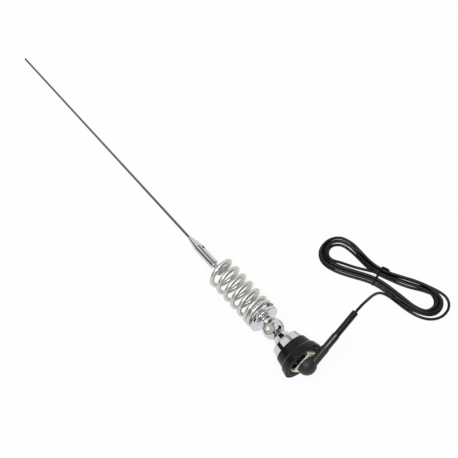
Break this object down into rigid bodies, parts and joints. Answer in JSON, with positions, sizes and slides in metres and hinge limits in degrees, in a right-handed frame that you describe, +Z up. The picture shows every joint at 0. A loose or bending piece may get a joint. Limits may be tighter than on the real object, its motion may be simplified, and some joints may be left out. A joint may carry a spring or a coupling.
{
  "type": "vhf mobile antenna",
  "caption": "Loaded whip antenna for a vehicle, with an open spring coil, a split-ball tilt knuckle, a panel base with claw bracket, and a coax lead wound in a hank.",
  "frame": {"origin": "middle of the underside of the antenna's own box, without its cable, on the surface that it lies on", "axes": "+Z up, +X along the antenna from the tip to the base, +Y to the side on which the cable leaves"},
  "size_m": [0.6154, 0.2195, 0.0558],
  "materials": {
    "stainless_rod": "drawn and polished",
    "chrome_plate": "polished plate",
    "coil_wire": "satin drawn wire",
    "bronze_screw": "dull",
    "blackened_screw": "blackened",
    "nickel_screw": "nickel plate",
    "black_moulding": "satin moulded",
    "grey_rubber": "matte",
    "insulator": "matte",
    "yellow_zinc": "yellow passivated zinc",
    "tinned_brass": "tinned",
    "boot_rubber": "matte moulded",
    "sleeve_gloss": "shrunk, glossy",
    "sleeve_satin": "shrunk, satin",
    "cable_jacket": "smooth jacket",
    "tie_plastic": "matte"
  },
  "bodies": {
    "base": {"lower_knuckle": "chrome_plate", "knuckle_screw": "nickel_screw", "knuckle_spring_washer": "nickel_screw", "knuckle_lock_washer": "nickel_screw", "chrome_cup": "chrome_plate", "base_skirt": "black_moulding", "seal_ring": "grey_rubber", "centre_stud": "nickel_screw", "insulating_bush": "insulator", "claw_bracket": "yellow_zinc", "stud_washer": "insulator", "solder_tag": "tinned_brass", "stud_nut": "nickel_screw", "rubber_boot": "boot_rubber", "near_sleeve": "sleeve_gloss", "far_sleeve": "sleeve_satin", "coax_cable": "cable_jacket", "cable_hank": "cable_jacket", "hank_tie": "tie_plastic"},
    "knuckle": {"upper_knuckle": "chrome_plate", "loading_coil": "coil_wire"},
    "mast": {"rod_holder": "chrome_plate", "rod_set_screw": "blackened_screw", "coil_eye_screw": "bronze_screw"},
    "whip": {"whip_rod": "stainless_rod"}
  },
  "joints": [
    {"name": "knuckle_tilt", "type": "hinge", "parent": "base", "child": "knuckle", "pos_m": [0.22027, -0.00102, 0.02387], "axis": [-0.036, -0.5878, 0.8082], "range_deg": [-90, 90]},
    {"name": "coil_flex", "type": "hinge", "parent": "knuckle", "child": "mast", "pos_m": [0.16051, -0.00102, 0.02121], "axis": [-0.0444, 0, 0.999], "range_deg": [-25, 25], "stiffness_Nm_per_rad": 7, "deforming": ["loading_coil"]},
    {"name": "whip_trim", "type": "slide", "parent": "mast", "child": "whip", "axis": [-0.999, 0, -0.0444], "range_m": [-0.0075, 0.008]}
  ]
}
